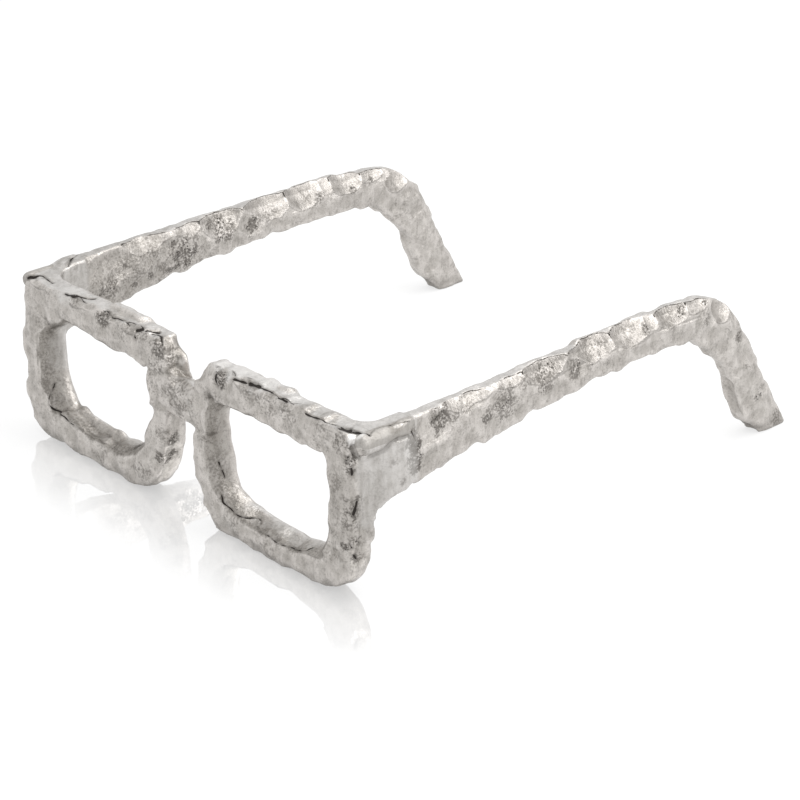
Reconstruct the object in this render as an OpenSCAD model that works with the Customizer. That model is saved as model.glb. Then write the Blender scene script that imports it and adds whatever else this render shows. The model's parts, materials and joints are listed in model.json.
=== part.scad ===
// Tabletop sculpture of a pair of eyeglasses, in hammered cast metal, with no lenses.
// X runs across the front, Y from the front face back to the temple tips, Z up from the table.
// Every joint is cut to true flat faces, so the hammered castings meet face to face.

/* [Overall] */
// Width across the two rims
front_w = 231.5; // [200:1:270]
// Height of the rims' top edge above the table
front_h = 79.5; // [70:0.5:95]
// Length from the front face to the tip of the longer, left temple
overall_l = 278; // [250:1:320]

/* [Rims] */
// Thickness of the rims from front to back
rim_depth = 13.5; // [11:0.5:16]
// Height of the top bar of each rim
top_bar = 17.5; // [12:0.5:19]
// Height of the bottom bar of each rim
bottom_bar = 14; // [11:0.5:18]
// Width of the left rim's upright bar on the temple side
left_outer_bar = 19; // [12:0.5:21]
// Width of the right rim's upright bar on the temple side
right_outer_bar = 16.5; // [12:0.5:20]
// Width of each rim's upright bar at the nose
nose_bar = 12.5; // [10:0.5:16]
// Gap between the two rims at the nose
nose_gap = 20; // [14:0.5:28]
// Radius of the rims' upper corners on the temple side
top_corner_r = 5; // [3:0.5:9]
// Radius of the left rim's upper corner at the nose
left_nose_top_r = 8; // [4:0.5:12]
// Radius of the right rim's upper corner at the nose
right_nose_top_r = 13; // [4:0.5:14]
// Radius of the left rim's lower corner at the nose
left_nose_r = 24; // [10:0.5:26]
// Radius of the left rim's lower corner on the temple side
left_side_r = 14.5; // [8:0.5:22]
// Radius of the right rim's lower corner at the nose
right_nose_r = 16.5; // [10:0.5:26]
// Radius of the right rim's lower corner on the temple side
right_side_r = 21; // [8:0.5:22]
// How far the left rim's nose bar leans in at the foot
left_nose_lean = 5; // [0:0.5:6]
// How far the right rim's nose bar leans in at the foot
right_nose_lean = 0.5; // [0:0.5:6]
// How much wider the left rim is than the right one
left_extra = 3; // [0:0.5:4]
// Radius of the upper corners of the lens openings
lens_top_r = 8; // [4:0.5:14]
// Radius of the lower corners of the lens openings
lens_bottom_r = 18; // [8:0.5:20]
// Radius of the left lens opening's lower corner at the nose
left_lens_nose_r = 28; // [10:0.5:30]
// Lean of the lens opening's walls, each way from square, over half the rim's thickness
lens_draft = 1.9; // [0:0.1:2.5]
// Rise of the rims' undersides from the middle to the corners
foot_bow = 1.6; // [0.8:0.1:3]

/* [Bridge] */
// Height of the bridge's centre above the table
bridge_z = 55; // [48:0.5:60]
// Height of the bridge where it laps over the rims
bridge_h = 19; // [14:0.5:22]
// Height of the bridge in the middle of the nose gap
bridge_waist = 17.5; // [12:0.5:20]
// Thickness of the half lap in front of each rim
lap_t = 5.5; // [4:0.5:7]
// Depth of the flat seat cut in each rim's nose side
seat_cut = 1.6; // [1:0.1:2.5]
// Distance that the half lap ends short of the lens opening
lap_short = 0.4; // [0.2:0.1:2]

/* [Temples] */
// Distance that the temples' outer faces stand out beyond the rims, as halves of their width
temple_out = 3.75; // [1:0.25:8]
// Thickness of the temples across
temple_t = 10.5; // [9:0.5:13]
// Height of the temples where they leave the end pieces
root_h = 29.5; // [24:0.5:34]
// Height of the temples in front of the ear bend
waist_h = 17.5; // [14:0.5:20]
// Width of the ear hook across its foot, along the table
foot_w = 27; // [22:0.5:32]
// Lean of the ear hook away from upright, in degrees
hook_lean = 26; // [20:1:32]
// Flare of each edge of the ear hook towards its foot, in degrees
hook_flare = 4; // [1:0.5:6]
// How far each temple's underside stands below its end piece's at the butt joint
root_swell = 2.2; // [0:0.1:3]
// Distance from the front face to the end of each temple's taper
taper_y = 100; // [85:1:115]
// Height of the ear hook's rounded toe
toe_h = 7; // [4:0.5:10]
// How much the right temple's back end stands above its root
right_rise = 3; // [0:0.5:4]
// How much shorter the right temple is than the left one
right_short = 6; // [0:0.5:8]

/* [End pieces] */
// Distance from the front face to the butt joint of the temples
butt_y = 33; // [28:0.5:40]
// Height of the end pieces' top face below the rims' top edge
top_step = 1; // [0.5:0.1:2]
// Distance that the end piece is let into the rim's outer side
let_in = 7; // [5:0.5:10]
// Thickness of rim that stays in front of the end piece
front_cheek = 6.5; // [5:0.5:7]
// Radius of the gusset under the end piece, behind the rim
gusset_r = 12; // [6:0.5:14]
// Radius of the inside corner between rim and temple
inside_r = 8; // [5:0.5:10]
// Depth of the flat seat cut in the rim's back
back_seat = 1.2; // [1:0.1:2]
// Length of the end piece's side that lies flush with the temple
flush_l = 10; // [6:0.5:14]

/* [Weld beads] */
// Radius of the bead at its thick front end
bead_r = 3.7; // [2.8:0.1:4.4]
// Radius of the bead where it is pinched
bead_pinch = 2.9; // [2.2:0.1:3.4]
// Distance from the front face to the front end of the bead
bead_front = 1.8; // [1.2:0.1:3]
// Distance that the bead stands proud of the end piece's side
bead_proud = 1.2; // [0.6:0.1:1.8]
// Distance that the bead stands above the end piece's top
bead_rise = 0.6; // [0.2:0.1:1.2]
// Distance between the bead's back end and the butt joint
bead_short = 0.5; // [0.2:0.1:2]

/* [Dowels] */
// Diameter of the dowels that pin bridge and end pieces
pin_d = 4; // [3:0.5:4.5]
// Diameter of the dowels between end pieces and temples
temple_pin_d = 5; // [4:0.5:6]
// Distance that a temple's dowel reaches into each side of its joint
temple_pin_reach = 9; // [7:0.5:11]
// Depth of a temple's dowel below the middle of its joint
temple_pin_drop = 2; // [1:0.5:4]
// Metal left in front of and behind each of the bridge's dowels
bridge_pin_skin = 2; // [1.5:0.1:3]
// Length of the dowels that pin the end pieces
corner_pin_l = 10; // [8:0.5:12]
// Metal left in front of each of those dowels
corner_pin_skin = 2.5; // [2:0.1:3.5]
// Height of the lower one above the end piece's foot
corner_pin_low = 8; // [6:0.5:10]
// Distance between the two
corner_pin_gap = 16; // [12:0.5:18]

/* [Hammering] */
// Spacing of the hammer marks
mark_pitch = 9; // [8:0.5:13]
// Depth of a hammer mark
mark_depth = 1.15; // [0.5:0.05:1.4]
// Crown radius of the hammer's face
hammer_r = 12; // [9:0.5:20]
// Squareness of the bars' section, where 2 is an ellipse
bar_power = 5; // [3:0.5:8]

/* [Mould marks] */
// Facets on the edge of both temples that faces up and to the right: distance behind the
// front face, angle round the bar from its top, radius and depth
temple_facets = [[43, 60, 12, 1.2], [62, 44, 12, 2.2], [90, 44, 9, 1.3], [109, 44, 11, 2.6],
    [128, 82, 7, 1], [140, 44, 12, 2.8], [163, 44, 11, 2.6], [177, 42, 6, 1.6],
    [190, 44, 10, 2.6], [207, 44, 9, 1.6]]; // [mm, degrees, mm, mm]
// Facets on the left rim's upper front edge: distance from the middle, radius and depth
left_facets = [[14, 8, 1.4], [33, 8, 1.2], [51, 7, 1.2], [75, 9, 1.4], [103, 9, 1.2]]; // [mm, mm, mm]
// The same on the right rim
right_facets = [[30, 8, 1.4], [50, 9, 1.4], [75, 8, 1.3], [98, 10, 1.3]]; // [mm, mm, mm]

/* [Hidden] */
$fn = 48;

metal = [0.80, 0.78, 0.75];        // plated casting, warm light grey
dressed = [0.84, 0.82, 0.78];      // ground and polished metal
steel = [0.62, 0.63, 0.65];        // dowels
past = 1;                          // how far a cutting shape runs past the face it cuts
foot_grind = 1;                    // how much of the rims is ground off to stand flat
bar_sides = 16;                    // points round a hammered bar
ring_step = 3.6;                   // target spacing of the sections across a rim
upright_step = 4.7;                // target spacing of the sections up a rim's sides
bar_step = 3.3;                    // target spacing of the sections along a temple
corner_steps = 5;                  // sections in each corner of a rim
arc_steps = 8;                     // segments in a quarter circle of an end piece
bead_rings = 24;                   // points along a bead
girth_share = 0.95;                // a rounded bar's girth, as a share of its box's
seam_lap = 4;                      // how far a temple's blank runs past its butt before it is cut
foot_cut = 2;                      // how far it runs past its foot
nose_reach = 34;                   // how far from the nose side the nose bar's lean dies out
mark_jitter = 0.3;                 // wander of the marks, as a share of their spacing
mark_spread = 0.35;                // variation of the marks' depth, as a share of it
mean_dent = 0.45;                  // the hammered surface's mean depth, as a share of a mark's
top_share = 0.6;                   // depth of the marks on upward faces, as a share of the others
edge_angle = 315;                  // where a rim's upper front edge lies, round its bar from its outside
wide = 700;                        // over twice the length, for cutting shapes

front_y = -overall_l / 2;          // the front face, with the origin in the middle of the footprint
rim_in = nose_gap / 2;             // nose side of a rim
out_right = (front_w - left_extra) / 2;  // temple side of the right rim
out_left = out_right + left_extra; // temple side of the left rim
lens_in = rim_in + nose_bar;
lens_low = bottom_bar;
lens_high = front_h - top_bar;

end_top = front_h - top_step;      // top face of the end pieces and temple roots
root_low = end_top - root_h;       // underside of the temple at its root
gusset_low = root_low - gusset_r;  // lowest point of the end piece
temple_x = front_w / 2 + temple_out;  // outer face of the temple
temple_in = temple_x - temple_t;   // inner face of the temple
temple_mid = temple_x - temple_t / 2;
back_face = rim_depth - back_seat; // flat seat on the rim's back
flange_in = temple_in - inside_r;  // inner edge of the end piece on the rim's back

skin = mark_depth * mean_dent;     // added all round a casting, so its sizes hold on average

bridge_low = bridge_z - bridge_h / 2;
seat_x = rim_in + seat_cut;        // flat seat on the rim's nose side
lap_end = lens_in - lap_short;

// A number between -1 and 1, the same each time for the same three numbers
function chance(i, j, seed) = rands(-1, 1, 1, seed * 1009 + i * 37 + j * 7919)[0];

// A point on the unit outline of a bar's section, at an angle
function section_point(angle) = let (
        c = cos(angle),
        s = sin(angle),
        size = pow(pow(abs(c), bar_power) + pow(abs(s), bar_power), -1 / bar_power)
    ) [c * size, s * size];

// The outward direction of the section at that point
function section_normal(p, half_a, half_b) = let (
        a = sign(p.x) * pow(abs(p.x), bar_power - 1) / half_a,
        b = sign(p.y) * pow(abs(p.y), bar_power - 1) / half_b
    ) [a, b] / norm([a, b]);

// A rung is one section of a bar: centre, first axis, its half size, second axis, its half size,
// and the draft, which leans the face at the first axis's low end. The bar runs along the
// first axis crossed with the second
function rung(centre, axis1, half1, axis2, half2, draft = 0) =
    [centre, axis1, half1 + skin, axis2, half2 + skin, draft];
function rung_point(rung, angle) = let (
        p = section_point(angle),
        lean = rung[5] * p.y * min(0, p.x)
    ) rung[0] + rung[1] * (rung[2] * p.x + lean) + rung[3] * rung[4] * p.y;
function rung_normal(rung, angle) =
    let (n = section_normal(section_point(angle), rung[2], rung[4])) rung[1] * n.x + rung[3] * n.y;

// A blow: the centre and radius of a crown that leaves a mark of this radius and depth at a point
function blow(point, outward, r, depth) = let (crown = (r * r + depth * depth) / (2 * depth))
    [point + outward * (crown - depth), crown];

// A facet at an angle round the bar, on the rung nearest to a place
function facet(rungs, place, angle, r, depth) = let (
        away = [for (rung = rungs) norm(rung[0] - place)],
        k = search(min(away), away)[0]
    ) blow(rung_point(rungs[k], angle), rung_normal(rungs[k], angle), r, depth);

// Blows all over the bar, on a jittered grid
function blows(rungs, length, girth, seed) = let (
        along = round(length / mark_pitch),
        around = round(girth / mark_pitch)
    ) [for (i = [0 : along - 1], j = [0 : around - 1]) let (
        stagger = j % 2 == 0 ? 0.25 : 0.75,
        place = (i + stagger + mark_jitter * chance(i, j, seed)) / along,
        k = floor(place * len(rungs) + len(rungs)) % len(rungs),
        angle = 360 * (j + mark_jitter * chance(j, i, seed + 3)) / around,
        n = rung_normal(rungs[k], angle),
        share = n.z > 0.7 ? top_share : 1,
        depth = mark_depth * share * (1 + mark_spread * chance(i + 5, j + 9, seed))
    ) [rung_point(rungs[k], angle) + n * (hammer_r - depth), hammer_r]];

function dent(p, marks) = max(0, max([for (mark = marks) mark[1] - norm(p - mark[0])]));

function hammered_point(rung, angle, marks) =
    let (p = rung_point(rung, angle)) p - rung_normal(rung, angle) * dent(p, marks);

// A solid bar through a list of rungs, hammered all over; a closed bar returns to its first rung
module hammered_bar(rungs, marks, closed) {
    count = len(rungs);
    last = closed ? count - 1 : count - 2;
    skin = [for (rung = rungs, j = [0 : bar_sides - 1])
        hammered_point(rung, 360 * j / bar_sides, marks)];
    ends = closed ? [] : [rungs[0][0], rungs[count - 1][0]];
    sides = [for (i = [0 : last], j = [0 : bar_sides - 1]) let (
            a = i * bar_sides + j,
            b = i * bar_sides + (j + 1) % bar_sides,
            c = (i + 1) % count * bar_sides + (j + 1) % bar_sides,
            d = (i + 1) % count * bar_sides + j
        ) each norm(skin[a] - skin[c]) < norm(skin[b] - skin[d])
            ? [[a, c, b], [a, d, c]]
            : [[a, d, b], [b, d, c]]];
    caps = closed ? [] : [for (j = [0 : bar_sides - 1]) let (
            next = (j + 1) % bar_sides,
            start = (count - 1) * bar_sides
        ) each [[count * bar_sides, j, next],
            [count * bar_sides + 1, start + next, start + j]]];
    polyhedron(concat(skin, ends), concat(sides, caps), convexity = 8);
}

// A quarter circle about a centre, from a start angle
function arc(centre, r, start) =
    [for (i = [0 : corner_steps]) let (a = start + 90 * i / corner_steps)
        centre + r * [cos(a), sin(a)]];
// Points between two points, without the ends
function between(p, q, steps) = [for (i = [1 : steps - 1]) p + (q - p) * i / steps];

// A rectangle with its own radius at each corner, anticlockwise from the upper temple-side corner
function rounded_outline(x0, x1, z0, z1, r, across, up) = let (
        a = arc([x1 - r[0], z1 - r[0]], r[0], 0),
        b = arc([x0 + r[1], z1 - r[1]], r[1], 90),
        c = arc([x0 + r[2], z0 + r[2]], r[2], 180),
        d = arc([x1 - r[3], z0 + r[3]], r[3], 270)
    ) concat(a, between(a[corner_steps], b[0], across), b, between(b[corner_steps], c[0], up),
        c, between(c[corner_steps], d[0], across), d, between(d[corner_steps], a[0], up));

// The underside bows up from its middle towards both corners
function bowed(p, out) = let (
        mid = (rim_in + out) / 2,
        side = (p.x - mid) / (out - mid)
    ) p.y < bottom_bar ? [p.x, p.y + foot_bow * side * side] : p;

// Below the bridge, the nose side leans in towards the foot
function leaned(p, lean) = let (
        fall = max(0, 1 - p.y / bridge_low),
        near = max(0, 1 - (p.x - rim_in) / nose_reach)
    ) [p.x + lean * fall * near, p.y];

// The rungs of a rim, from the lens opening out to the outside
function rim_rungs(out, bar, nose_top_r, nose_r, side_r, lens_nose_r, lean) = let (
        across = round((out - rim_in - top_corner_r - side_r) / ring_step),
        up = round((front_h - top_corner_r - side_r) / upright_step),
        outside = rounded_outline(rim_in, out, -foot_grind, front_h,
            [top_corner_r, nose_top_r, nose_r, side_r], across, up),
        opening = rounded_outline(lens_in, out - bar, lens_low, lens_high,
            [lens_top_r, lens_top_r, lens_nose_r, lens_bottom_r], across, up)
    ) [for (i = [0 : len(outside) - 1]) let (
        p = leaned(bowed(outside[i], out), lean),
        q = leaned(opening[i], lean),
        mid = (p + q) / 2,
        reach = norm(p - q)
    ) rung([mid.x, rim_depth / 2, mid.y], [(p.x - q.x) / reach, 0, (p.y - q.y) / reach],
        reach / 2, [0, 1, 0], rim_depth / 2, lens_draft)];

function girth(across, deep) = 2 * (across + deep) * girth_share;

// One hammered rim without its cuts
module rim_casting(out, bar, nose_top_r, nose_r, side_r, lens_nose_r, lean, seed, facets) {
    rungs = rim_rungs(out, bar, nose_top_r, nose_r, side_r, lens_nose_r, lean);
    length = (out - rim_in + front_h) * 2 - bottom_bar * 4;
    edge = [for (f = facets) let (place = [f[0], rim_depth / 2, (lens_high + front_h) / 2])
        facet(rungs, place, edge_angle, f[1], f[2])];
    marks = blows(rungs, length, girth(bottom_bar, rim_depth), seed);
    hammered_bar(rungs, concat(marks, edge), true);
}

// The seat that the bridge fills in a rim: a half lap in front, a flat at the nose side
module bridge_seat() {
    translate([0, 0, bridge_low])
        linear_extrude(height = bridge_h)
            polygon([[-past, -past], [lens_in + past * 2, -past], [lens_in + past * 2, lap_t],
                [seat_x, lap_t], [seat_x, rim_depth + past], [-past, rim_depth + past]]);
}

// The rebate that the end piece fills in a rim: let into the side, with a flat on the back
module end_seat(out) {
    translate([0, 0, gusset_low])
        linear_extrude(height = wide)
            polygon([[out - let_in, front_cheek], [wide, front_cheek], [wide, wide],
                [flange_in, wide], [flange_in, back_face], [out - let_in, back_face]]);
}

// Everything below the table's top
module floor_cut() {
    translate([-wide / 2, -wide / 2, -wide])
        cube(wide);
}

// One rim with its seats, its flat foot and its dowel holes
module rim(out, bar, nose_top_r, nose_r, side_r, lens_nose_r, lean, seed, facets) {
    difference() {
        rim_casting(out, bar, nose_top_r, nose_r, side_r, lens_nose_r, lean, seed, facets);
        floor_cut();
        bridge_seat();
        end_seat(out);
        bead();
        bridge_dowel();
        corner_dowels(out);
    }
}

// The middle of the bridge sags from the laps to a waist
function bridge_half(x) = let (
        t = min(1, abs(x) / rim_in),
        swell = (1 - cos(180 * t)) / 2
    ) (bridge_waist + (bridge_h - bridge_waist) * swell) / 2 + (t < 1 ? 0 : past);

// The hammered bar of the bridge, which its seats trim to length and height
module bridge_casting() {
    steps = round(lens_in * 2 / ring_step);
    rungs = [for (i = [0 : steps]) let (x = lens_in * (1 - 2 * i / steps))
        rung([x, rim_depth / 2, bridge_z], [0, 0, 1], bridge_half(x), [0, 1, 0], rim_depth / 2)];
    hammered_bar(rungs, blows(rungs, lens_in * 2, girth(bridge_h, rim_depth), 71), false);
}

module bridge_blank() {
    translate([-seat_x, -past, bridge_low])
        cube([seat_x * 2, rim_depth + past * 2, bridge_h]);
    translate([-lap_end, -past, bridge_low])
        cube([lap_end * 2, lap_t + past, bridge_h]);
}

// One dowel through the lap into the rim, along the depth
bridge_pin_x = (seat_x + lens_in) / 2;
module bridge_dowel() {
    translate([bridge_pin_x, bridge_pin_skin, bridge_z])
        rotate([-90, 0, 0])
            cylinder(d = pin_d, h = rim_depth - bridge_pin_skin * 2);
}

// The outer face of the end piece swells from the rim's side to the temple's outer face
swell_end = butt_y - flush_l;
function end_face(out, t) = [out + (temple_x - out) * (1 - cos(180 * t)) / 2,
    front_cheek + (swell_end - front_cheek) * t];
function inside_arc() = [for (i = [0 : arc_steps]) let (a = 90 * i / arc_steps)
    [flange_in + inside_r * sin(a), rim_depth + inside_r - inside_r * cos(a)]];
function gusset_arc() = [for (i = [0 : arc_steps]) let (a = 90 * i / arc_steps)
    [rim_depth + gusset_r - gusset_r * cos(a), gusset_low + gusset_r * sin(a)]];

// Seen from above: let into the rim, with a round inside corner behind it
module end_plan(out) {
    polygon(concat(
        [[out - let_in, front_cheek]],
        [for (i = [0 : arc_steps]) end_face(out, i / arc_steps)],
        [[temple_x, butt_y], [temple_in, butt_y], [temple_in, rim_depth + inside_r]],
        [for (i = [arc_steps - 1 : -1 : 0]) inside_arc()[i]],
        [[flange_in, back_face], [out - let_in, back_face]]
    ));
}

// Seen from the side: the gusset sweeps from the rim's back into the temple's underside
module end_profile() {
    polygon(concat(
        [[front_cheek, end_top], [front_cheek, gusset_low]],
        gusset_arc(),
        [[butt_y, root_low], [butt_y, end_top]]
    ));
}

module end_piece(out) {
    difference() {
        intersection() {
            linear_extrude(height = wide)
                end_plan(out);
            rotate([90, 0, 90])
                linear_extrude(height = wide)
                    end_profile();
        }
        bead();
        corner_dowels(out);
        temple_dowel();
    }
}

// Two dowels through the shoulder between the end piece and the rim
module corner_dowels(out) {
    for (rise = [corner_pin_low, corner_pin_low + corner_pin_gap])
        translate([out - let_in / 2, corner_pin_skin, gusset_low + rise])
            rotate([-90, 0, 0])
                cylinder(d = pin_d, h = corner_pin_l);
}

// The dowel across the butt joint of end piece and temple
temple_pin_z = (root_low + end_top) / 2 - temple_pin_drop;
module temple_dowel() {
    translate([temple_mid, butt_y - temple_pin_reach, temple_pin_z])
        rotate([-90, 0, 0])
            cylinder(d = temple_pin_d, h = temple_pin_reach * 2);
}

// The bead is a lying round bar with a pinch, whose radius follows its length
bead_l = butt_y - bead_short - bead_front;
bead_x = temple_x + bead_proud - bead_r;
bead_z = end_top - bead_r + bead_rise;
pinch_at = 0.68;                   // place of the pinch, as a share of the bead's length
pinch_reach = 0.12;                // how far the pinch spreads each way, as such a share
tail_thin = 0.16;                  // how much thinner the back end is, as a share
function bead_radius(t) = let (
        nose = sqrt(1 - pow(1 - min(1, t * bead_l / bead_r), 2)),
        thin = exp(-pow((t - pinch_at) / pinch_reach, 2)),
        tail = 1 - tail_thin * max(0, (t - pinch_at - pinch_reach) / (1 - pinch_at - pinch_reach))
    ) nose * tail * (bead_r - (bead_r - bead_pinch) * thin);
module bead() {
    translate([bead_x, bead_front, bead_z])
        rotate([-90, 0, 0])
            rotate_extrude()
                polygon(concat([[0, 0]],
                    [for (i = [1 : bead_rings])
                        [bead_radius(i / bead_rings), bead_l * i / bead_rings]],
                    [[0, bead_l]]));
}

// A smooth curve through four points, between the second and the third
function smooth(a, b, c, d, t) = (2 * b + (c - a) * t + (2 * a - 5 * b + 4 * c - d) * t * t
    + (3 * b - a - 3 * c + d) * t * t * t) / 2;
function along(p, i, t) = smooth(p[max(i - 1, 0)], p[i], p[i + 1], p[min(i + 2, len(p) - 1)], t);

// A point on a straight edge of the ear hook, at a share of the hook's height
function leg_edge(foot, top, share, lean) = [foot - top * share * lean, top * share];

// The temple seen from the side, as pairs of points: top or back edge, then under or front edge
function temple_pairs(length, rise) = let (
        top = end_top + rise,
        low = top - waist_h,
        root = root_low - root_swell,
        taper = root_h - waist_h,
        back_lean = tan(hook_lean + hook_flare),
        front_lean = tan(hook_lean - hook_flare),
        knee = length - top * back_lean,
        toe = length - foot_w
    ) [
        [[butt_y - seam_lap, end_top], [butt_y - seam_lap, root]],
        [[butt_y, end_top], [butt_y, root]],
        [[(butt_y + taper_y) / 2 - toe_h, end_top], [(butt_y + taper_y) / 2 - toe_h, root + taper * 0.45]],
        [[taper_y, end_top + rise * 0.3], [taper_y, root_low + taper * 0.85]],
        [[(taper_y + knee) / 2, end_top + rise * 0.7], [(taper_y + knee) / 2, low - rise * 0.3]],
        [[knee - waist_h * 1.15, top], [knee - waist_h * 1.55, low]],
        [[knee - waist_h * 0.17, top - waist_h * 0.28], [knee - waist_h * 0.86, low - waist_h * 0.4]],
        [leg_edge(length, top, 0.815, back_lean), [knee - waist_h * 0.31, low - waist_h * 0.86]],
        [leg_edge(length, top, 0.64, back_lean), leg_edge(toe, top, 0.5, front_lean)],
        [leg_edge(length, top, 0.45, back_lean), leg_edge(toe, top, 0.33, front_lean)],
        [leg_edge(length, top, 0.28, back_lean), leg_edge(toe, top, 0.2, front_lean)],
        [leg_edge(length, top, 0.15, back_lean), [toe - toe_h * 0.15, toe_h]],
        [leg_edge(length, top, 0.06, back_lean), [toe + toe_h * 0.6, toe_h * 0.28]],
        [[length + foot_cut * back_lean, -foot_cut], [toe + toe_h * 1.4, -foot_cut]]
    ];

function temple_rungs(side, length, rise) = let (
        pairs = temple_pairs(length, rise),
        outer = [for (p = pairs) p[0]],
        inner = [for (p = pairs) p[1]]
    ) [for (i = [0 : len(pairs) - 2]) let (
            steps = max(1, round(norm(outer[i + 1] + inner[i + 1] - outer[i] - inner[i]) / 2 / bar_step))
        ) for (j = [0 : steps - (i == len(pairs) - 2 ? 0 : 1)]) let (
            p = along(outer, i, j / steps),
            q = along(inner, i, j / steps),
            mid = (p + q) / 2,
            reach = norm(p - q)
        ) rung([side * temple_mid, mid.x, mid.y], [0, (p.x - q.x) / reach, (p.y - q.y) / reach],
            reach / 2, [1, 0, 0], temple_t / 2)];

// One temple with its flat butt, its flat foot and its dowel hole. Both come from one mould,
// so their marks aren't mirrored
module temple(side, length, rise) {
    rungs = temple_rungs(side, length, rise);
    further = length - overall_l + right_short;
    edge = [for (f = temple_facets) let (
            place = [side * temple_mid, f[0] + further, end_top - waist_h / 2]
        ) facet(rungs, place, f[1], f[2], f[3])];
    marks = blows(rungs, length + front_h, girth(waist_h, temple_t), 45);
    difference() {
        hammered_bar(rungs, concat(marks, edge), false);
        floor_cut();
        translate([-wide / 2, butt_y - wide, 0])
            cube(wide);
        mirror([side < 0 ? 1 : 0, 0, 0])
            temple_dowel();
    }
}

module place(side) {
    translate([0, front_y, 0])
        mirror([side < 0 ? 1 : 0, 0, 0])
            children();
}

module rim_left() {
    color(metal)
        place(-1)
            rim(out_left, left_outer_bar, left_nose_top_r, left_nose_r, left_side_r,
                left_lens_nose_r, left_nose_lean, 21, left_facets);
}
module rim_right() {
    color(metal)
        place(1)
            rim(out_right, right_outer_bar, right_nose_top_r, right_nose_r, right_side_r,
                lens_bottom_r, right_nose_lean, 34, right_facets);
}
module bridge() {
    color(metal) place(1) difference() {
        intersection() {
            bridge_casting();
            bridge_blank();
        }
        bridge_dowel();
        mirror([1, 0, 0]) bridge_dowel();
    }
}
module end_piece_left() { color(dressed) place(-1) end_piece(out_left); }
module end_piece_right() { color(dressed) place(1) end_piece(out_right); }
module temple_left() { color(metal) place(1) temple(-1, overall_l, 0); }
module temple_right() { color(metal) place(1) temple(1, overall_l - right_short, right_rise); }
module weld_bead_left() { color(dressed) place(-1) bead(); }
module weld_bead_right() { color(dressed) place(1) bead(); }
module bridge_dowels() {
    color(steel) {
        place(-1) bridge_dowel();
        place(1) bridge_dowel();
    }
}
module corner_dowels_left() { color(steel) place(-1) corner_dowels(out_left); }
module corner_dowels_right() { color(steel) place(1) corner_dowels(out_right); }
module temple_dowel_left() { color(steel) place(-1) temple_dowel(); }
module temple_dowel_right() { color(steel) place(1) temple_dowel(); }

rim_left();
rim_right();
bridge();
end_piece_left();
end_piece_right();
temple_left();
temple_right();
weld_bead_left();
weld_bead_right();
bridge_dowels();
corner_dowels_left();
corner_dowels_right();
temple_dowel_left();
temple_dowel_right();
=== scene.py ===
# Hammered metal eyeglasses on a pale table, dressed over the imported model
import json
import math
import bpy
import numpy as np
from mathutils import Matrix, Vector

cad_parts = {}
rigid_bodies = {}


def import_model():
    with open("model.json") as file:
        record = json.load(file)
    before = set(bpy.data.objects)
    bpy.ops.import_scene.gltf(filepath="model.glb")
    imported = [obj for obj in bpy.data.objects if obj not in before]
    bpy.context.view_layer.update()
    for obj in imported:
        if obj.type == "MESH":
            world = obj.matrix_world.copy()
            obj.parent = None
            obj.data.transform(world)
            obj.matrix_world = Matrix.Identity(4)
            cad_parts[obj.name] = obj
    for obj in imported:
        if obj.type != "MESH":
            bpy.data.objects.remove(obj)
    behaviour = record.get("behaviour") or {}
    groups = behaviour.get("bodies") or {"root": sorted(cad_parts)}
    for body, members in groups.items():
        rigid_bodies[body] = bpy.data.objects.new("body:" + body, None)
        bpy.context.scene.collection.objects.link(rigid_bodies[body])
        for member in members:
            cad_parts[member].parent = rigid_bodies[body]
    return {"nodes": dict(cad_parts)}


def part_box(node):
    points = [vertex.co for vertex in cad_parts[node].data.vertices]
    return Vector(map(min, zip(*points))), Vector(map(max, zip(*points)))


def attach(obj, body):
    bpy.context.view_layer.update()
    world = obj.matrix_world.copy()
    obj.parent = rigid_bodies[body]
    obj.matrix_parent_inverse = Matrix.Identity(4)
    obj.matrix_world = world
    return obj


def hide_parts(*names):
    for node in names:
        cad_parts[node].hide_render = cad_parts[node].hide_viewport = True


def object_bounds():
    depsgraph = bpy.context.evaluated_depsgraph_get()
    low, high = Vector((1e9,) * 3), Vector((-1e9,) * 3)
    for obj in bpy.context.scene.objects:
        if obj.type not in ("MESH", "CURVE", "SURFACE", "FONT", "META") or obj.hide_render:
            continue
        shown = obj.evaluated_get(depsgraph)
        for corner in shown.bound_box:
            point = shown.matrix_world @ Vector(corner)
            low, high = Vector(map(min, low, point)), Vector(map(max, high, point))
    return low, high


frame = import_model()
nodes = frame["nodes"]
cadBox = [list(corner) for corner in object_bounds()]
mm = 0.001
print("frame loaded:", len(nodes), "pieces")

# The camera stands where the photograph was taken from
viewpoint = {
    "azimuth": 47.8455,             # degrees round from the front, towards the right rim
    "elevation": 25.1807,           # degrees above the table
    "distance": 1.31118,            # metres from the front's foot
    "aside": 0.09763,               # metres to the camera's right
    "above": 0.05055,               # metres along the camera's up
    "lens": 131.597,                # mm on a 36 mm sensor
    "frontFace": -0.139,            # the front face's place along Y
}


def placeCamera(view):
    turn, tilt = math.radians(view["azimuth"]), math.radians(view["elevation"])
    back = Vector((math.sin(turn) * math.cos(tilt), -math.cos(turn) * math.cos(tilt), math.sin(tilt)))
    right = Vector((math.cos(turn), math.sin(turn), 0))
    up = back.cross(right)
    spot = Vector((0, view["frontFace"], 0)) + back * view["distance"] + right * view["aside"] + up * view["above"]
    bpy.ops.object.camera_add(location=spot, rotation=(math.radians(90) - tilt, 0, turn))
    camera = bpy.context.object
    camera.name = "photoCamera"
    camera.data.lens = view["lens"]
    camera.data.sensor_width = 36
    camera.data.clip_start = 0.05
    camera.data.clip_end = 20
    bpy.context.scene.camera = camera


placeCamera(viewpoint)
print("camera placed")


# Small helpers for working by hand in object and edit mode
def deselectAll():
    if bpy.context.object and bpy.context.object.mode != "OBJECT":
        bpy.ops.object.mode_set(mode="OBJECT")
    bpy.ops.object.select_all(action="DESELECT")


def pick(piece):
    deselectAll()
    piece.select_set(True)
    bpy.context.view_layer.objects.active = piece


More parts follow.
